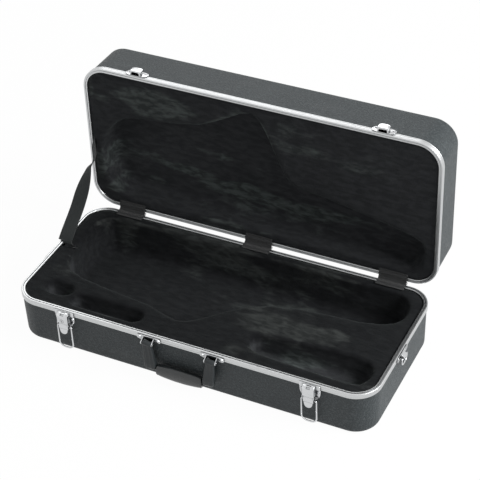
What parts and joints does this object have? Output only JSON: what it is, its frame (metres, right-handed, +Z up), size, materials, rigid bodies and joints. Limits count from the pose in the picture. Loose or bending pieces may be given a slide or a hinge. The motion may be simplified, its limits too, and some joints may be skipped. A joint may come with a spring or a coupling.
{
  "type": "saxophone case",
  "caption": "Moulded hard case for an alto saxophone, with metal valances, draw latches, hinged lid, carrying handle, strap rings, stay strap and pocketed plush insert.",
  "frame": {"origin": "centre of the flat underside, midway between the two ends and midway between the front and back valance faces", "axes": "+X along the case, from left to right as seen from the front; -Y out of the front, where the latches and the handle are; +Z up"},
  "size_m": [0.6652, 0.3902, 0.3811],
  "materials": {
    "abs": "fine grained",
    "valance": "satin extruded",
    "chrome": "polished plate",
    "steel": "zinc plated",
    "plush": "crushed plush",
    "foam": "moulded foam",
    "webbing": "woven webbing",
    "handle_cover": "soft moulded cover",
    "cover_cloth": "plain cloth"
  },
  "bodies": {
    "base": {"base_shell": "abs", "base_valance": "valance", "base_foam": "foam", "base_lining": "plush", "hinge_leaf_base_left": "steel", "hinge_leaf_base_center": "steel", "hinge_leaf_base_right": "steel", "hinge_pin_left": "steel", "hinge_pin_center": "steel", "hinge_pin_right": "steel", "latch_plate_left": "chrome", "latch_plate_right": "chrome", "latch_pin_left": "steel", "latch_pin_right": "steel", "handle_bracket_left": "chrome", "handle_bracket_right": "chrome", "handle_pin_left": "chrome", "handle_pin_right": "chrome", "ring_bracket_left": "chrome", "ring_bracket_right": "chrome", "stay_strap": "webbing", "strap_rivet_base": "steel", "hinge_cover_left": "cover_cloth", "hinge_cover_center": "cover_cloth", "hinge_cover_right": "cover_cloth"},
    "lid": {"lid_shell": "abs", "lid_valance": "valance", "lid_foam": "foam", "lid_lining": "plush", "hinge_leaf_lid_left": "steel", "hinge_leaf_lid_center": "steel", "hinge_leaf_lid_right": "steel", "keeper_left": "chrome", "keeper_right": "chrome", "strap_rivet_lid": "steel"},
    "lever_left": {"latch_lever_left": "chrome"},
    "lever_right": {"latch_lever_right": "chrome"},
    "bail_left": {"latch_bail_left": "chrome"},
    "bail_right": {"latch_bail_right": "chrome"},
    "handle": {"handle_strap_left": "handle_cover", "handle_strap_right": "handle_cover", "handle_grip": "handle_cover"},
    "ring_left": {"strap_ring_left": "chrome"},
    "ring_right": {"strap_ring_right": "chrome"},
    "lock": {"lock_barrel": "chrome"}
  },
  "joints": [
    {"name": "lid_hinge", "type": "hinge", "parent": "base", "child": "lid", "pos_m": [0, 0.145, 0.087], "axis": [-1, 0, 0], "range_deg": [-90.5, 0], "deforming": ["stay_strap", "hinge_cover_left", "hinge_cover_center", "hinge_cover_right"]},
    {"name": "lever_left_turn", "type": "hinge", "parent": "base", "child": "lever_left", "pos_m": [-0.222, -0.1463, 0.063], "axis": [1, 0, 0], "range_deg": [-90, 0]},
    {"name": "lever_right_turn", "type": "hinge", "parent": "base", "child": "lever_right", "pos_m": [0.222, -0.1463, 0.063], "axis": [1, 0, 0], "range_deg": [-90, 0]},
    {"name": "bail_left_swing", "type": "hinge", "parent": "lever_left", "child": "bail_left", "pos_m": [-0.222, -0.146, 0.056], "axis": [-1, 0, 0], "range_deg": [0, 180]},
    {"name": "bail_right_swing", "type": "hinge", "parent": "lever_right", "child": "bail_right", "pos_m": [0.222, -0.146, 0.056], "axis": [-1, 0, 0], "range_deg": [0, 180]},
    {"name": "handle_swing", "type": "hinge", "parent": "base", "child": "handle", "pos_m": [-0.0055, -0.1492, 0.0755], "axis": [-1, 0, 0], "range_deg": [0, 175]},
    {"name": "ring_left_swing", "type": "hinge", "parent": "base", "child": "ring_left", "pos_m": [-0.3298, -0.014, 0.0765], "axis": [0, 1, 0], "range_deg": [0, 170]},
    {"name": "ring_right_swing", "type": "hinge", "parent": "base", "child": "ring_right", "pos_m": [0.3298, -0.014, 0.0765], "axis": [0, -1, 0], "range_deg": [0, 170]},
    {"name": "lock_turn", "type": "hinge", "parent": "base", "child": "lock", "pos_m": [-0.222, -0.1516, 0.0705], "axis": [0, 1, 0], "range_deg": [0, 90]}
  ]
}
